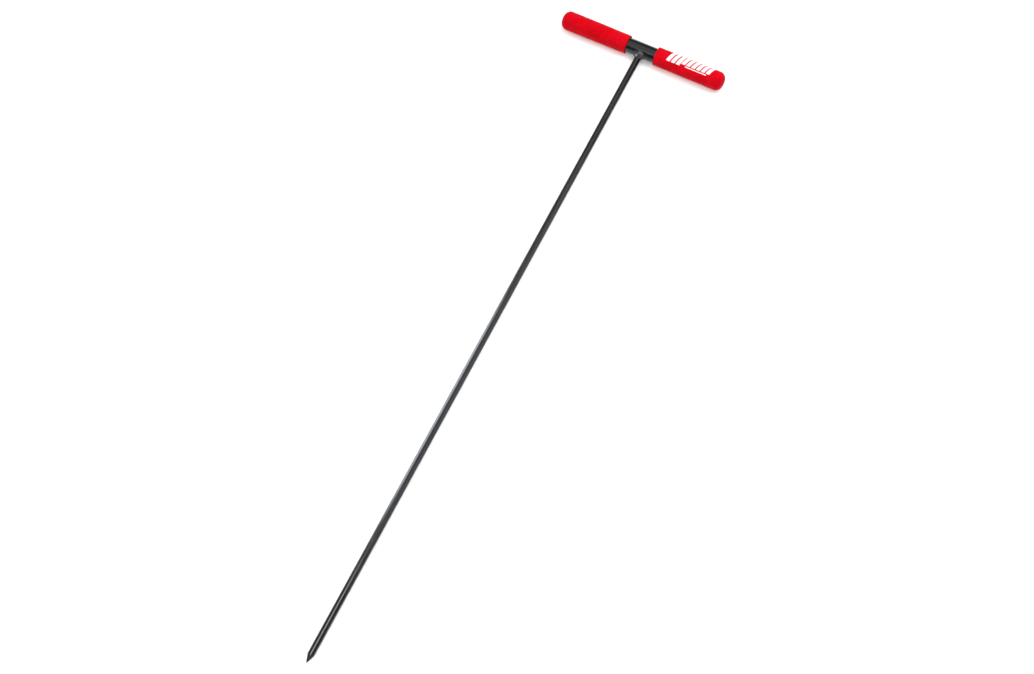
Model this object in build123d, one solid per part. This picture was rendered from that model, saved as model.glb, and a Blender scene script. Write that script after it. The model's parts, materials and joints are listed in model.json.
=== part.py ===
from build123d import *
import math
import os

# A T-handled ground probe: a pointed steel rod welded to a cross tube that carries two foam grips.
#
# Each piece is first drawn in the tool's own frame: the origin is where the rod's axis meets the handle's
# axis, X runs along the handle, -Y runs down the rod to its point and Z is up. All of them are then laid down
# together, so that the tool rests on its two grips and on the shoulder of its point, as it does on a floor.

# Driving dimensions, in millimetres.
overall_length = 1219.2
handle_span = 320.0
grip_length = 132.0
grip_diameter = 33.7
grip_dome_radius = 12.6
tube_diameter = 26.7
tube_wall = 2.1
tube_length = 304.8
tube_edge_chamfer = 0.5
rod_diameter = 12.0
point_length = 14.0
point_nose_radius = 0.8
weld_leg = 6.5
weld_root_radius = 2.5
weld_toe_thickness = 0.3
weld_end_margin = 0.15

# Worked out from them.
grip_radius = grip_diameter / 2
tube_radius = tube_diameter / 2
rod_radius = rod_diameter / 2
half_span = handle_span / 2
point_reach = overall_length - grip_radius
shoulder_reach = point_reach - point_length
weld_end = tube_radius + weld_leg + weld_end_margin
shank_start = weld_end + weld_end_margin

# How far the rod slopes down from the handle, so that the point's shoulder is as low as the grips.
to_shoulder_edge = math.hypot(shoulder_reach, rod_radius)
rest_tilt = math.asin(grip_radius / to_shoulder_edge) - math.atan(rod_radius / shoulder_reach)

ALONG_HANDLE = Rotation(0, 90, 0)
ALONG_ROD = Rotation(90, 0, 0)


def full_tube(length):
    """A solid bar as thick as the handle tube, along the handle and centred on the rod."""
    return ALONG_HANDLE * Cylinder(tube_radius, length)


def make_probe_rod():
    """The round rod, bevelled under its weld, cut to sit on the tube and ground to a cone at its foot."""
    half_angle = math.atan(rod_radius / point_length)
    nose_start = point_nose_radius * math.cos(half_angle)
    nose_centre = point_reach - point_nose_radius
    nose_shoulder = nose_centre + point_nose_radius * math.sin(half_angle)
    outline = Polyline(
        (0, -nose_centre),
        (0, 0),
        (weld_root_radius, 0),
        (weld_root_radius, -tube_radius),
        (rod_radius, -shank_start),
        (rod_radius, -shoulder_reach),
        (nose_start, -nose_shoulder),
    )
    nose = CenterArc((0, -nose_centre), point_nose_radius, -90, 90 - math.degrees(half_angle))
    closing = Line((0, -nose_centre), (0, -point_reach))
    rod = revolve(make_face(Curve() + [outline, nose, closing]), Axis.Y)
    return rod - full_tube(tube_diameter * 2)


def make_handle_tube():
    """The cross tube, open at both ends, with its cut edges broken."""
    tube = full_tube(tube_length) - ALONG_HANDLE * Cylinder(tube_radius - tube_wall, tube_length)
    rims = tube.edges().filter_by(GeomType.CIRCLE)
    return chamfer(rims, tube_edge_chamfer)


def make_weld_bead(rod):
    """The weld all round the rod, on the saddle line where it meets the tube, filling the bevel behind it."""
    bar = full_tube(tube_diameter * 2)
    stub = ALONG_ROD * Cylinder(
        rod_radius + weld_toe_thickness, weld_end, align=(Align.CENTER, Align.CENTER, Align.MIN)
    )
    joined = bar + stub
    saddle_line = joined.edges().filter_by(GeomType.BSPLINE)
    return chamfer(saddle_line, weld_leg) - bar - rod


def make_grip(side):
    """One foam grip: a sleeve over the tube with a closed, rounded outer end; side is -1 or 1 along X."""
    inner_end = half_span - grip_length
    bore_depth = tube_length / 2 - inner_end
    sleeve = Pos(inner_end, 0, 0) * ALONG_HANDLE * Cylinder(
        grip_radius, grip_length, align=(Align.CENTER, Align.CENTER, Align.MIN)
    )
    outer_rim = sleeve.edges().group_by(Axis.X)[-1]
    sleeve = fillet(outer_rim, grip_dome_radius)
    bore = Pos(inner_end, 0, 0) * ALONG_HANDLE * Cylinder(
        tube_radius, bore_depth, align=(Align.CENTER, Align.CENTER, Align.MIN)
    )
    grip = sleeve - bore
    return grip if side > 0 else mirror(grip, Plane.YZ)


def lay_down(pieces):
    """All the pieces at rest on the floor, centred on the origin in plan."""
    tilted = {name: Rotation(math.degrees(rest_tilt), 0, 0) * piece for name, piece in pieces.items()}
    box = Compound(list(tilted.values())).bounding_box()
    to_floor = Pos(-box.center().X, -box.center().Y, -box.min.Z)
    return {name: to_floor * piece for name, piece in tilted.items()}


probe_rod = make_probe_rod()
pieces = {
    "probe_rod": probe_rod,
    "handle_tube": make_handle_tube(),
    "weld_bead": make_weld_bead(probe_rod),
    "left_grip": make_grip(-1),
    "right_grip": make_grip(1),
}

os.makedirs("parts", exist_ok=True)
for name, piece in lay_down(pieces).items():
    export_step(piece, f"parts/{name}.step")
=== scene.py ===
import bmesh
import bpy
import json
import math
from mathutils import Matrix, Vector, noise


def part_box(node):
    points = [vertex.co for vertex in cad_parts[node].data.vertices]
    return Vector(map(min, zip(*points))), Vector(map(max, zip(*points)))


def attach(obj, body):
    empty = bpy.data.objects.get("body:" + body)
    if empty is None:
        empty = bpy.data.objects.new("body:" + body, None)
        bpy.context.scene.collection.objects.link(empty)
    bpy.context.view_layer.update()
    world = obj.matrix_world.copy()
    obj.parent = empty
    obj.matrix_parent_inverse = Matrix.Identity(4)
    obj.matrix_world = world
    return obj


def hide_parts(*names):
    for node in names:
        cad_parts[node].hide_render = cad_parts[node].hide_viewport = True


# A T-handled ground probe: a pointed steel rod welded to a cross tube that carries two foam grips.
# Each piece is drawn in the tool's own frame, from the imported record's dimensions, and then laid down as the
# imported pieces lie: the origin is where the rod's axis meets the handle's axis, X runs along the handle, -Y
# runs down the rod to its point and Z is up.

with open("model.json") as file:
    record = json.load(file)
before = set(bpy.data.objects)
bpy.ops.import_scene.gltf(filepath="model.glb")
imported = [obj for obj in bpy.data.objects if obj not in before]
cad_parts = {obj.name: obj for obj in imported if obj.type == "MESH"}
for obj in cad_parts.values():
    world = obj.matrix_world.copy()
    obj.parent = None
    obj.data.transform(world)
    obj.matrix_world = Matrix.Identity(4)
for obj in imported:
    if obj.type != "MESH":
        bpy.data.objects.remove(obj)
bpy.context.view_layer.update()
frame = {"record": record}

# ------------------------------------------------ dimensions in metres, and the tool's own frame
MM = 0.001
mounts = {m["name"]: m for m in frame["record"]["mounts"]}
shank = mounts["shank"]
hold = mounts["right_grip_hold"]
joint = Vector((0, hold["pos_m"][1], hold["pos_m"][2]))
rest_tilt = math.atan2(-shank["axis"][2], -shank["axis"][1])
TO_ROW = Matrix.Translation(joint) @ Matrix.Rotation(rest_tilt, 4, "X")

GRIP_R = hold["dims"]["r_mm"] * MM
ROD_R = shank["dims"]["r_mm"] * MM
tube_low, tube_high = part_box("handle_tube")
grip_low, grip_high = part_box("right_grip")
rod_low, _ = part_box("probe_rod")
TUBE_R = (tube_high.z - tube_low.z) / 2
TUBE_HALF = tube_high.x
TUBE_WALL = 2.1 * MM
TUBE_CHAMFER = 0.5 * MM
HALF_SPAN = grip_high.x
GRIP_START = grip_low.x
DOME_R = 12.6 * MM
REACH = (joint.y - rod_low.y) / math.cos(rest_tilt)
POINT_LENGTH = 14 * MM
NOSE_R = 0.8 * MM


def noise_at(p, size, seed):
    """Smooth noise from about -1 to 1, with lumps of that size in metres."""
    return noise.noise(p / size + Vector((seed * 7.31, seed * 3.17, seed * 5.59)))


# ------------------------------------------------ mesh building
def finish_mesh(name, verts, faces, material):
    """A smooth-shaded object from points in the tool's frame, laid down but never below the floor."""
    placed = [TO_ROW @ Vector(v) for v in verts]
    for p in placed:
        p.z = max(p.z, 0.0)
    mesh = bpy.data.meshes.new(name)
    mesh.from_pydata(placed, [], faces)
    bm = bmesh.new()
    bm.from_mesh(mesh)
    bmesh.ops.recalc_face_normals(bm, faces=bm.faces)
    bm.to_mesh(mesh)
    bm.free()
    mesh.shade_smooth()
    mesh.materials.append(material)
    obj = bpy.data.objects.new(name, mesh)
    bpy.context.scene.collection.objects.link(obj)
    return obj


def skin(rings, looped):
    """Vertices and faces through rings of points; the two ends are closed by fans, or meet if looped."""
    sides = len(rings[0])
    verts = [p for ring in rings for p in ring]
    faces = []
    for i in range(len(rings) if looped else len(rings) - 1):
        a = i * sides
        b = (i + 1) % len(rings) * sides
        for j in range(sides):
            k = (j + 1) % sides
            faces.append((a + j, a + k, b + k, b + j))
    if not looped:
        for start, ring in ((0, rings[0]), ((len(rings) - 1) * sides, rings[-1])):
            pole = sum(ring, Vector()) / sides
            verts.append(pole)
            faces += [(start + j, start + (j + 1) % sides, len(verts) - 1) for j in range(sides)]
    return verts, faces


def turned(outline, sides, place):
    """Rings round an outline of (distance along, radius) pairs; place(along, radius, angle) gives a point."""
    step = 2 * math.pi / sides
    return [[place(along, radius, j * step) for j in range(sides)] for along, radius in outline]


def spaced(start, end, pitch):
    """Evenly spaced values from start to end, both included, about a pitch apart."""
    count = max(1, round(abs(end - start) / pitch))
    return [start + (end - start) * i / count for i in range(count + 1)]


# ------------------------------------------------ materials
def new_material(name):
    """A new material, its node tree and its shader node."""
    mat = bpy.data.materials.new(name)
    mat.use_nodes = True
    return mat, mat.node_tree, mat.node_tree.nodes["Principled BSDF"]


def node(tree, kind, inputs=None, **props):
    """A new node with its properties and input values set; an input value may be another node's output."""
    made = tree.nodes.new(kind)
    for key, value in props.items():
        setattr(made, key, value)
    for key, value in (inputs or {}).items():
        if isinstance(value, bpy.types.NodeSocket):
            tree.links.new(value, made.inputs[key])
        else:
            made.inputs[key].default_value = value
    return made


def stretched(tree, scale):
    """Object coordinates in metres, multiplied by a scale for each axis."""
    where = node(tree, "ShaderNodeTexCoord").outputs["Object"]
    return node(tree, "ShaderNodeMapping", {"Vector": where, "Scale": scale}).outputs["Vector"]


def ramp(tree, value, low, high, to_low=0.0, to_high=1.0):
    """A value carried smoothly from one range to another."""
    made = node(
        tree,
        "ShaderNodeMapRange",
        {"Value": value, "From Min": low, "From Max": high, "To Min": to_low, "To Max": to_high},
        interpolation_type="SMOOTHSTEP",
    )
    return made.outputs["Result"]


def mixed(tree, share, a, b):
    """Colour a where share is 0 and b where it is 1; each is three numbers or another node's output."""
    made = node(tree, "ShaderNodeMix", data_type="RGBA")
    sockets = {socket.name: socket for socket in made.inputs if socket.type == "RGBA"}
    for key, value in (("A", a), ("B", b)):
        if isinstance(value, tuple):
            sockets[key].default_value = (*value, 1)
        else:
            tree.links.new(value, sockets[key])
    tree.links.new(share, made.inputs["Factor"])
    return next(socket for socket in made.outputs if socket.type == "RGBA")


def noise_node(tree, vector, scale, detail=3.0, roughness=0.5):
    """A noise texture's value."""
    inputs = {"Vector": vector, "Scale": scale, "Detail": detail, "Roughness": roughness}
    return node(tree, "ShaderNodeTexNoise", inputs).outputs["Fac"]


def cells(tree, vector, scale):
    """The distance to the nearest of many scattered points."""
    inputs = {"Vector": vector, "Scale": scale}
    return node(tree, "ShaderNodeTexVoronoi", inputs, feature="F1").outputs["Distance"]


def bump_node(tree, heights):
    """Bumps stacked on each other, from (height output, strength, depth in metres)."""
    normal = None
    for height, strength, depth in heights:
        made = node(tree, "ShaderNodeBump", {"Height": height, "Strength": strength, "Distance": depth})
        if normal is not None:
            tree.links.new(normal, made.inputs["Normal"])
        normal = made.outputs["Normal"]
    return normal


def black_paint(name, along, dark, light, gloss):
    """Black paint over drawn steel: fine lines along an axis, orange peel, dust specks and dull patches."""
    mat, tree, shader = new_material(name)
    plain = stretched(tree, (1, 1, 1))
    lines = noise_node(tree, stretched(tree, along), 900.0, 2.0)
    patches = noise_node(tree, plain, 34.0, 4.0, 0.6)
    peel = noise_node(tree, plain, 620.0, 2.0)
    speck = ramp(tree, cells(tree, plain, 260.0), 0.04, 0.11, 1.0, 0.0)
    faint_speck = node(tree, "ShaderNodeMath", {0: speck, 1: 0.4}, operation="MULTIPLY").outputs[0]
    tone = mixed(tree, ramp(tree, patches, 0.35, 0.7), dark, light)
    tone = mixed(tree, ramp(tree, lines, 0.52, 0.8, 0.0, 0.45), tone, tuple(1.9 * c for c in light))
    tone = mixed(tree, faint_speck, tone, (0.05, 0.05, 0.052))
    tree.links.new(tone, shader.inputs["Base Color"])
    tree.links.new(ramp(tree, patches, 0.3, 0.75, *gloss), shader.inputs["Roughness"])
    bumps = [(peel, 0.10, 0.0003), (lines, 0.10, 0.0003), (speck, 0.12, 0.0002)]
    tree.links.new(bump_node(tree, bumps), shader.inputs["Normal"])
    shader.inputs["IOR"].default_value = 1.5
    return mat


FOAM_PORES = 820.0


def red_foam(name):
    """Closed-cell foam: saturated red with paler flecks, and open pores where the skin was cut, darkened by
    painted shade.
    """
    mat, tree, shader = new_material(name)
    plain = stretched(tree, (1, 1, 1))
    pores = cells(tree, plain, FOAM_PORES)
    fine = cells(tree, plain, 1900.0)
    mottle = noise_node(tree, plain, 560.0, 4.0, 0.7)
    broad = noise_node(tree, plain, 45.0, 3.0, 0.55)
    tone = mixed(tree, ramp(tree, broad, 0.3, 0.7), (0.43, 0.0005, 0.0032), (0.52, 0.0014, 0.0075))
    tone = mixed(tree, ramp(tree, mottle, 0.48, 0.72), tone, (0.68, 0.009, 0.024))
    # Darker red at the pores: painted shade inside the open pores.
    tone = mixed(tree, ramp(tree, pores, 0.10, 0.34, 0.6, 0.0), tone, (0.30, 0.0004, 0.0016))
    tree.links.new(tone, shader.inputs["Base Color"])
    tree.links.new(ramp(tree, mottle, 0.3, 0.7, 0.72, 0.94), shader.inputs["Roughness"])
    bumps = [
        (broad, 0.12, 0.0006),
        (mottle, 0.5, 0.0008),
        (ramp(tree, pores, 0.05, 0.42), 0.5, 0.0004),
        (fine, 0.25, 0.0002),
    ]
    tree.links.new(bump_node(tree, bumps), shader.inputs["Normal"])
    shader.inputs["Specular IOR Level"].default_value = 0.2
    shader.inputs["Specular Tint"].default_value = (1.0, 0.04, 0.08, 1)
    shader.inputs["Sheen Weight"].default_value = 0.02
    shader.inputs["Sheen Roughness"].default_value = 0.5
    shader.inputs["Sheen Tint"].default_value = (1.0, 0.35, 0.38, 1)
    return mat


def white_ink(name):
    """Screen-printed ink on foam: off-white, worn through to the red in the deepest pores."""
    mat, tree, shader = new_material(name)
    plain = stretched(tree, (1, 1, 1))
    pores = cells(tree, plain, FOAM_PORES)
    mottle = noise_node(tree, plain, 300.0, 3.0, 0.6)
    tone = mixed(tree, ramp(tree, mottle, 0.35, 0.7), (0.66, 0.645, 0.64), (0.76, 0.745, 0.74))
    tone = mixed(tree, ramp(tree, pores, 0.04, 0.22, 0.8, 0.0), tone, (0.60, 0.10, 0.11))
    tree.links.new(tone, shader.inputs["Base Color"])
    tree.links.new(ramp(tree, mottle, 0.3, 0.7, 0.5, 0.75), shader.inputs["Roughness"])
    bumps = [(mottle, 0.4, 0.0005), (pores, 0.4, 0.0003)]
    tree.links.new(bump_node(tree, bumps), shader.inputs["Normal"])
    return mat


rod_paint = black_paint(
    "rod_paint", (1, 0.02, 1), (0.0035, 0.0035, 0.0042), (0.006, 0.006, 0.007), (0.15, 0.25)
)
tube_paint = black_paint(
    "tube_paint", (0.02, 1, 1), (0.0022, 0.0022, 0.0027), (0.004, 0.004, 0.0048), (0.13, 0.22)
)
weld_paint = black_paint(
    "weld_paint", (1, 1, 1), (0.0022, 0.0022, 0.0027), (0.0045, 0.0045, 0.0053), (0.18, 0.30)
)
foam = red_foam("red_foam_pores")
ink = white_ink("white_ink_print")


# ------------------------------------------------ probe rod
ROD_START = 12.2 * MM
SHOULDER_RIM = 0.35 * MM


def rod_outline():
    """(distance down the rod, radius) from inside the weld to the nose of the point."""
    half_angle = math.atan(ROD_R / POINT_LENGTH)
    rim_start = REACH - POINT_LENGTH - SHOULDER_RIM
    nose_centre = REACH - NOSE_R
    cone_end = nose_centre + NOSE_R * math.sin(half_angle)
    cone_end_r = NOSE_R * math.cos(half_angle)
    outline = [(s, ROD_R) for s in spaced(ROD_START, rim_start, 4 * MM)]
    for part in (0.25, 0.5, 0.75, 1.0):
        turn = part * (math.pi / 2 - half_angle)
        drop = SHOULDER_RIM * (1 - math.cos(turn)) * 0.6
        outline.append((rim_start + SHOULDER_RIM * part * 1.15, ROD_R - drop))
    cone_start, cone_start_r = outline[-1]
    for s in spaced(cone_start, cone_end, 0.5 * MM)[1:]:
        share = (s - cone_start) / (cone_end - cone_start)
        outline.append((s, cone_start_r + (cone_end_r - cone_start_r) * share))
    for part in (0.25, 0.5, 0.75, 0.93):
        turn = half_angle + part * (math.pi / 2 - half_angle)
        outline.append((nose_centre + NOSE_R * math.sin(turn), NOSE_R * math.cos(turn)))
    return outline


def rod_point(along, radius, angle):
    """A point of the rod, with the paint's slight unevenness and the grinding rings of the cone."""
    x, z = math.cos(angle), math.sin(angle)
    p = Vector((radius * x, -along, radius * z))
    uneven = 0.014 * MM * noise_at(Vector((p.x, p.y * 0.25, p.z)), 5 * MM, 1)
    uneven += 0.02 * MM * noise_at(p, 60 * MM, 2)
    if along > REACH - POINT_LENGTH:
        uneven += 0.03 * MM * noise_at(Vector((0, p.y, 0)), 0.9 * MM, 3) - 0.02 * MM
    if radius < 1 * MM:
        uneven = min(uneven, 0.0)
    r = max(radius + uneven, 0.05 * MM)
    return Vector((r * x, -along, r * z))


verts, faces = skin(turned(rod_outline(), 64, rod_point), looped=False)
rod = finish_mesh("probe_rod_painted", verts, faces, rod_paint)


# ------------------------------------------------ handle tube
def tube_outline():
    """(place along the handle, radius) round the tube's wall, outside and in, with its cut edges broken."""
    inside = TUBE_R - TUBE_WALL
    flat_end = TUBE_HALF - TUBE_CHAMFER
    out = [(x, TUBE_R) for x in spaced(-flat_end, flat_end, 4 * MM)]
    out += [(TUBE_HALF, TUBE_R - TUBE_CHAMFER), (TUBE_HALF, inside + TUBE_CHAMFER)]
    out += [(x, inside) for x in spaced(flat_end, -flat_end, 8 * MM)]
    out += [(-TUBE_HALF, inside + TUBE_CHAMFER), (-TUBE_HALF, TUBE_R - TUBE_CHAMFER)]
    return out


def tube_point(along, radius, angle):
    """A point of the tube; the paint is slightly uneven, more round the tube than along it."""
    y, z = math.cos(angle), math.sin(angle)
    p = Vector((along * 0.2, radius * y, radius * z))
    r = radius + 0.015 * MM * noise_at(p, 4 * MM, 4) - 0.01 * MM
    return Vector((along, r * y, r * z))


verts, faces = skin(turned(tube_outline(), 96, tube_point), looped=True)
tube = finish_mesh("handle_tube_painted", verts, faces, tube_paint)

# ------------------------------------------------ weld
WELD_STEPS_ROUND = 160
WELD_STEPS_ACROSS = 14
TUBE_LEG = 5.7 * MM
ROD_LEG = 6.2 * MM
RIPPLES = 17
RIPPLE_HEIGHT = 0.22 * MM
START_LUMP_HEIGHT = 0.55 * MM
START_LUMP_ANGLE = math.radians(205)
START_LUMP_SPREAD = 0.42


def weld_point(angle, across):
    """A point of the weld's face: angle goes round the rod from +X to +Z, across from the tube to the rod."""
    c, s = math.cos(angle), math.sin(angle)
    right, left = max(c, 0), max(-c, 0)
    wander = noise_at(Vector((c, s, 0.3)) * 10 * MM, 7 * MM, 5)
    tube_leg = TUBE_LEG + 0.8 * MM * math.cos(2 * angle) + 1.1 * MM * right**2 + 0.45 * MM * wander
    rod_wander = noise_at(Vector((c, s, 1.7)) * 10 * MM, 8 * MM, 6)
    rod_leg = ROD_LEG + 1.0 * MM * right**2 + 0.5 * MM * rod_wander

    def on_tube(from_rod_axis):
        y = -math.sqrt(TUBE_R**2 - (from_rod_axis * s) ** 2)
        return Vector((from_rod_axis * c, y, from_rod_axis * s))

    toe = on_tube(ROD_R + tube_leg)
    root = on_tube(ROD_R)
    foot = Vector((ROD_R * c, root.y - rod_leg, ROD_R * s))
    hollow = 0.5 + 0.25 * right - 0.2 * left
    middle = (toe + foot) / 2 * (1 - hollow) + root * hollow
    p = toe * (1 - across) ** 2 + middle * 2 * across * (1 - across) + foot * across**2
    out = Vector((c, -1.0, s)).normalized()
    bow = math.sin(math.pi * across)
    phase = RIPPLES * angle + 3.8 * bow + 1.6 * wander
    crest = (0.5 + 0.5 * math.sin(phase)) ** 0.7 - 0.5
    p += out * (RIPPLE_HEIGHT * crest * bow)
    from_start = (angle - START_LUMP_ANGLE + math.pi) % (2 * math.pi) - math.pi
    p += out * (START_LUMP_HEIGHT * math.exp(-((from_start / START_LUMP_SPREAD) ** 2)) * bow)
    p += out * (0.20 * MM * noise_at(p, 2.2 * MM, 7) * bow)
    return p


def weld_rings():
    """Rings round the rod: under the tube's skin, across the weld's face, and back inside the rod."""
    angles = [2 * math.pi * i / WELD_STEPS_ROUND for i in range(WELD_STEPS_ROUND)]
    steps = [j / WELD_STEPS_ACROSS for j in range(WELD_STEPS_ACROSS + 1)]
    face = [[weld_point(a, step) for a in angles] for step in steps]
    sink = Vector((0, 0.35 * MM, 0))
    inset = 1 - 0.12 * MM / ROD_R
    core = 0.8 * ROD_R
    rings = [[Vector((p.x * 0.97, p.y, p.z * 0.97)) + sink * 2 for p in face[0]]]
    rings.append([p + sink * 0.4 for p in face[0]])
    rings += face[1:-1]
    rings.append([Vector((p.x * inset, p.y, p.z * inset)) for p in face[-1]])
    rings.append([Vector((p.x * 0.8, p.y + 0.4 * MM, p.z * 0.8)) for p in face[-1]])
    rings.append([Vector((core * math.cos(a), -TUBE_R + 0.6 * MM, core * math.sin(a))) for a in angles])
    return rings


verts, faces = skin(weld_rings(), looped=True)
weld = finish_mesh("weld_bead_rippled", verts, faces, weld_paint)


# ------------------------------------------------ foam grips
INNER_GROWTH = -0.25 * MM
OUTER_GROWTH = {-1: 0.38 * MM, 1: 0.05 * MM}
BORE_R = TUBE_R - 0.04 * MM
CUT_EDGE = 0.45 * MM
DOME_START = HALF_SPAN - DOME_R
DOME_STEPS = 14
GRIP_SIDES = 112


def sleeve_radius(side, x):
    """The sleeve's plain radius at a distance from the middle of the handle: thinnest at its cut end."""
    share = min(max((x - GRIP_START) / (DOME_START - GRIP_START), 0), 1)
    return GRIP_R + INNER_GROWTH + (OUTER_GROWTH[side] - INNER_GROWTH) * share**0.8


def grip_outline(side):
    """(distance from the middle of the handle, radius) over the sleeve's outside, from cut end to dome."""
    start_r = sleeve_radius(side, GRIP_START)
    top_r = sleeve_radius(side, DOME_START)
    flat = top_r - DOME_R
    out = [
        (GRIP_START + 0.05 * MM, BORE_R),
        (GRIP_START, BORE_R + 0.9 * MM),
        (GRIP_START, start_r - CUT_EDGE * 1.2),
        (GRIP_START + CUT_EDGE * 0.3, start_r - CUT_EDGE * 0.3),
        (GRIP_START + CUT_EDGE, start_r),
    ]
    out += [(x, sleeve_radius(side, x)) for x in spaced(GRIP_START + CUT_EDGE + 1 * MM, DOME_START, 1.5 * MM)]
    for i in range(1, DOME_STEPS + 1):
        turn = math.radians(90 * i / DOME_STEPS)
        out.append((DOME_START + DOME_R * math.sin(turn), top_r - DOME_R * (1 - math.cos(turn))))
    out.append((HALF_SPAN + 0.02 * MM, flat * 0.66))
    out.append((HALF_SPAN + 0.03 * MM, flat * 0.33))
    out.append((HALF_SPAN + 0.03 * MM, flat * 0.08))
    return out


def bore_outline():
    """The inside of the sleeve, from its closed end back to the cut end."""
    depth = TUBE_HALF + 0.1 * MM
    out = [(depth, BORE_R * 0.08), (depth, BORE_R * 0.6), (depth, BORE_R)]
    out += [(x, BORE_R) for x in spaced(depth - 2 * MM, GRIP_START + 2 * MM, 6 * MM)]
    return out


def foam_radius(side, along, radius, angle):
    """The radius of the foam's surface there, with its slow waves and small lumps."""
    p = Vector((side * along, radius * math.cos(angle), radius * math.sin(angle)))
    seed = 11 if side < 0 else 12
    wave = 0.16 * MM * noise_at(p, 26 * MM, seed)
    lump = 0.07 * MM * noise_at(p, 4 * MM, seed + 5) + 0.03 * MM * noise_at(p, 1.6 * MM, seed + 9)
    return radius + wave + lump


def make_grip(side, name):
    """One foam sleeve; side is -1 or 1 along X. Its cut end is slightly wavy, as cut by hand."""

    def place(along, radius, angle):
        c, s = math.cos(angle), math.sin(angle)
        near_cut = math.exp(-((along - GRIP_START) / (1.2 * MM)) ** 2)
        wobble = 0.22 * MM * noise_at(Vector((side, c, s)), 0.9, 21 + side) * near_cut
        outside = radius > BORE_R + 0.5 * MM or along > TUBE_HALF + 1 * MM
        r = foam_radius(side, along, radius, angle) if outside and radius > 1.5 * MM else radius
        return Vector((side * (along + wobble), r * c, r * s))

    verts, faces = skin(turned(grip_outline(side) + bore_outline(), GRIP_SIDES, place), looped=False)
    return finish_mesh(name, verts, faces, foam)


left_grip = make_grip(-1, "left_grip_foam")
right_grip = make_grip(1, "right_grip_foam")


# ------------------------------------------------ printed mark: plain slanted bars and a thin rule
FILM = 0.13 * MM
FILM_ROOT = -0.3 * MM
PRINT_SEED = 31
BAR_COUNT = 9
LONG_BARS = 3
BAR_PITCH = 9.4 * MM
BAR_WIDTH = 7.0 * MM
BAR_SLANT = 7.0 * MM
FIRST_BAR = 54 * MM
RULE_START = 87 * MM
RULE_END = 128 * MM
# Angles round the grip, in degrees from +Y towards +Z.
BAR_TOP = 30
LONG_BAR_FOOT = 119
SHORT_BAR_FOOT = 105
RULE_TOP = 111
RULE_FOOT = 117


def film_bar(verts, faces, x_from, x_to, slant, turn_from, turn_to):
    """Adds a closed patch of ink on the right grip, between two places and two angles from +Y towards +Z."""
    columns = max(2, round((x_to - x_from) / (1.2 * MM)))
    rows = max(2, round((turn_to - turn_from) * GRIP_R / (0.8 * MM)))
    base = len(verts)
    for lift in (FILM, FILM_ROOT):
        for j in range(rows + 1):
            v = j / rows
            for i in range(columns + 1):
                u = i / columns
                straight_x = x_from + u * (x_to - x_from)
                ragged = Vector((straight_x, v * 20 * MM, 0))
                x = straight_x + slant * (0.5 - v)
                x += 0.16 * MM * noise_at(ragged, 2.5 * MM, PRINT_SEED) * abs(2 * u - 1)
                turn = turn_from + v * (turn_to - turn_from)
                turn += 0.012 * noise_at(ragged, 3.0 * MM, PRINT_SEED + 1) * abs(2 * v - 1)
                r = foam_radius(1, x, sleeve_radius(1, x), turn) + lift
                verts.append(Vector((x, r * math.cos(turn), r * math.sin(turn))))
    layer = (columns + 1) * (rows + 1)

    def at(i, j, k):
        return base + k * layer + j * (columns + 1) + i

    for j in range(rows):
        for i in range(columns):
            for k in (0, 1):
                faces.append((at(i, j, k), at(i + 1, j, k), at(i + 1, j + 1, k), at(i, j + 1, k)))
    for i in range(columns):
        for j in (0, rows):
            faces.append((at(i, j, 0), at(i + 1, j, 0), at(i + 1, j, 1), at(i, j, 1)))
    for j in range(rows):
        for i in (0, columns):
            faces.append((at(i, j, 0), at(i, j + 1, 0), at(i, j + 1, 1), at(i, j, 1)))


verts, faces = [], []
for i in range(BAR_COUNT):
    x = FIRST_BAR + i * BAR_PITCH
    bar_foot = LONG_BAR_FOOT if i < LONG_BARS else SHORT_BAR_FOOT
    film_bar(verts, faces, x, x + BAR_WIDTH, BAR_SLANT, math.radians(BAR_TOP), math.radians(bar_foot))
film_bar(verts, faces, RULE_START, RULE_END, 0.0, math.radians(RULE_TOP), math.radians(RULE_FOOT))
printed = finish_mesh("right_grip_printed_bars", verts, faces, ink)


# ------------------------------------------------ pieces and bodies
for obj, cad_node, slot_name in (
    (rod, "probe_rod", "black_steel"),
    (tube, "handle_tube", "black_steel"),
    (weld, "weld_bead", "black_steel"),
    (left_grip, "left_grip", "red_foam"),
    (right_grip, "right_grip", "red_foam"),
):
    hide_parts(cad_node)
    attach(obj, "root")
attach(printed, "root")


# ------------------------------------------------ floor
def pale_paper(name):
    """Plain white studio paper, with faint fibres and slow changes of tone."""
    mat, tree, shader = new_material(name)
    plain = stretched(tree, (1, 1, 1))
    fibres = noise_node(tree, plain, 260.0, 3.0)
    broad = noise_node(tree, plain, 1.6, 2.0)
    tone = mixed(tree, ramp(tree, broad, 0.3, 0.7), (0.86, 0.858, 0.855), (0.885, 0.885, 0.885))
    tree.links.new(tone, shader.inputs["Base Color"])
    tree.links.new(ramp(tree, fibres, 0.3, 0.7, 0.75, 0.9), shader.inputs["Roughness"])
    tree.links.new(bump_node(tree, [(fibres, 0.03, 0.0002)]), shader.inputs["Normal"])
    shader.inputs["Specular IOR Level"].default_value = 0.2
    return mat


FLOOR_HALF = 30.0
floor_mesh = bpy.data.meshes.new("floor")
corners = [(x * FLOOR_HALF, y * FLOOR_HALF, 0) for x, y in ((-1, -1), (1, -1), (1, 1), (-1, 1))]
floor_mesh.from_pydata(corners, [], [(0, 1, 2, 3)])
floor_mesh.materials.append(pale_paper("pale_paper"))
floor = bpy.data.objects.new("floor", floor_mesh)
bpy.context.scene.collection.objects.link(floor)


# ------------------------------------------------ light
def lit_group(name, members):
    """A collection for lights that fall only on some of the things in the scene."""
    group = bpy.data.collections.new(name)
    for obj in members:
        group.objects.link(obj)
    return group


painted = lit_group("glossy_paint", (rod, tube, weld))
soft = lit_group("foam_and_ink", (left_grip, right_grip, printed))
paper = lit_group("paper", (floor,))


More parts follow.
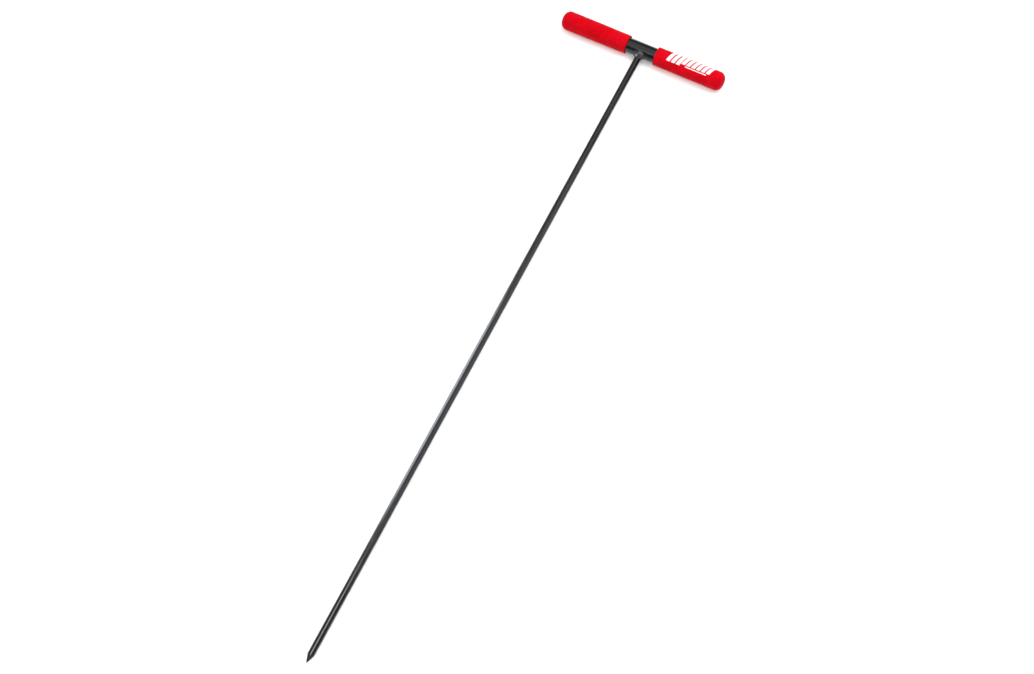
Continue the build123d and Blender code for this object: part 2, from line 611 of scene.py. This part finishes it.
def soft_light(name, place, target, wide, tall, radiance, colour, only=None):
    """A rectangular soft light that the camera doesn't see, for everything or only for one collection."""
    data = bpy.data.lights.new(name, "AREA")
    data.shape = "RECTANGLE"
    data.size = wide
    data.size_y = tall
    data.energy = 4 * wide * tall * radiance
    data.color = colour
    obj = bpy.data.objects.new(name, data)
    obj.location = place
    obj.rotation_mode = "QUATERNION"
    obj.rotation_quaternion = (Vector(target) - Vector(place)).to_track_quat("-Z", "Y")
    obj.visible_camera = False
    if only is not None:
        obj.light_linking.receiver_collection = only
    bpy.context.scene.collection.objects.link(obj)


CEILING = 2.2
WARM = (1.0, 0.99, 0.98)
ROSE = (1.0, 0.985, 0.99)
COOL = (0.80, 0.87, 1.0)
BLUE = (0.35, 0.75, 1.0)

# On everything.
soft_light("overhead_panel", (-0.15, 0.75, CEILING), (-0.15, 0.75, 0), 2.7, 3.9, 0.8, ROSE)
soft_light("near_softbox", (0.7, -2.6, 2.6), (0, 0, 0), 2.0, 1.4, 3.0, WARM)

# On the floor only: bright and even, with a short soft shadow on the near side of the handle.
soft_light("paper_ceiling", (0, 0, 8.0), (0, 0, 0), 60.0, 60.0, 0.74, WARM, paper)
soft_light("high_softbox", (0.9, 1.1, 2.8), (0, 0.2, 0), 1.5, 1.5, 3.4, WARM, paper)

# On the foam and its print only: brighter on the far side.
soft_light("foam_ceiling", (0.1, 0.35, 2.25), (0.1, 0.35, 0), 2.6, 2.6, 1.1, WARM, soft)
soft_light("far_softbox", (0.2, 1.5, 2.6), (0, 0.6, 0), 1.5, 1.5, 6.0, WARM, soft)

# On the black paint only: the bands and lines of light along the rod and the tube.
soft_light("far_window", (-0.5, 4.2, 0.45), (0, 0.6, 0), 3.0, 0.5, 0.5, BLUE, painted)
soft_light("left_softbox", (-1.9, 0.12, 0.92), (0, 0.12, 0.05), 0.85, 1.6, 10.5, COOL, painted)
soft_light("right_softbox", (1.85, 0.35, 1.45), (0, 0, 0), 1.6, 0.7, 3.6, WARM, painted)
soft_light("upper_strip", (0.9, 1.4, 2.15), (0.9, 1.4, 0), 0.28, 0.7, 5.0, WARM, painted)
soft_light("point_panel", (0.15, -0.95, 2.15), (0.15, -0.95, 0), 1.2, 0.6, 1.8, WARM, painted)
soft_light("point_strip", (-0.05, -0.85, 2.1), (-0.05, -0.85, 0), 0.42, 0.6, 13.0, WARM, painted)

world = bpy.data.worlds.new("studio")
bpy.context.scene.world = world
world.use_nodes = True
tree = world.node_tree
direction = node(tree, "ShaderNodeTexCoord").outputs["Generated"]
parts = node(tree, "ShaderNodeSeparateXYZ", {"Vector": direction})
# The room is bright at the horizon, bluish on the far side and dark above; the camera sees plain pale grey.
horizon = mixed(tree, ramp(tree, parts.outputs["Y"], 0.3, 0.9), (0.80, 0.80, 0.81), (0.62, 0.75, 0.83))
room = mixed(tree, ramp(tree, parts.outputs["Z"], 0.0, 0.22), horizon, (0.10, 0.10, 0.105))
seen = node(tree, "ShaderNodeLightPath").outputs["Is Camera Ray"]
sky = mixed(tree, seen, room, (0.93, 0.93, 0.93))
background = tree.nodes["Background"]
tree.links.new(sky, background.inputs["Color"])
background.inputs["Strength"].default_value = 1.0

# ------------------------------------------------ camera
# It looks down from the right of the rod; image_down, the way that runs down the picture, sets its roll.
camera_place = Vector((0.4523, -0.3912, 1.7806))
looking = Vector((-0.2170, 0.2178, -0.9516)).normalized()
image_down = Vector((0.4233, -0.8573, -0.2928))
image_right = image_down.cross(looking).normalized()
image_up = image_right.cross(looking).normalized()
camera_data = bpy.data.cameras.new("camera")
camera_data.sensor_width = 36.0
camera_data.lens = 38.3
camera_data.clip_start = 0.05
camera_data.clip_end = 200.0
camera = bpy.data.objects.new("camera", camera_data)
turn = Matrix((image_right, image_up, -looking)).transposed()
camera.matrix_world = Matrix.Translation(camera_place) @ turn.to_4x4()
bpy.context.scene.collection.objects.link(camera)
bpy.context.scene.camera = camera

bpy.context.scene.view_settings.view_transform = "Standard"
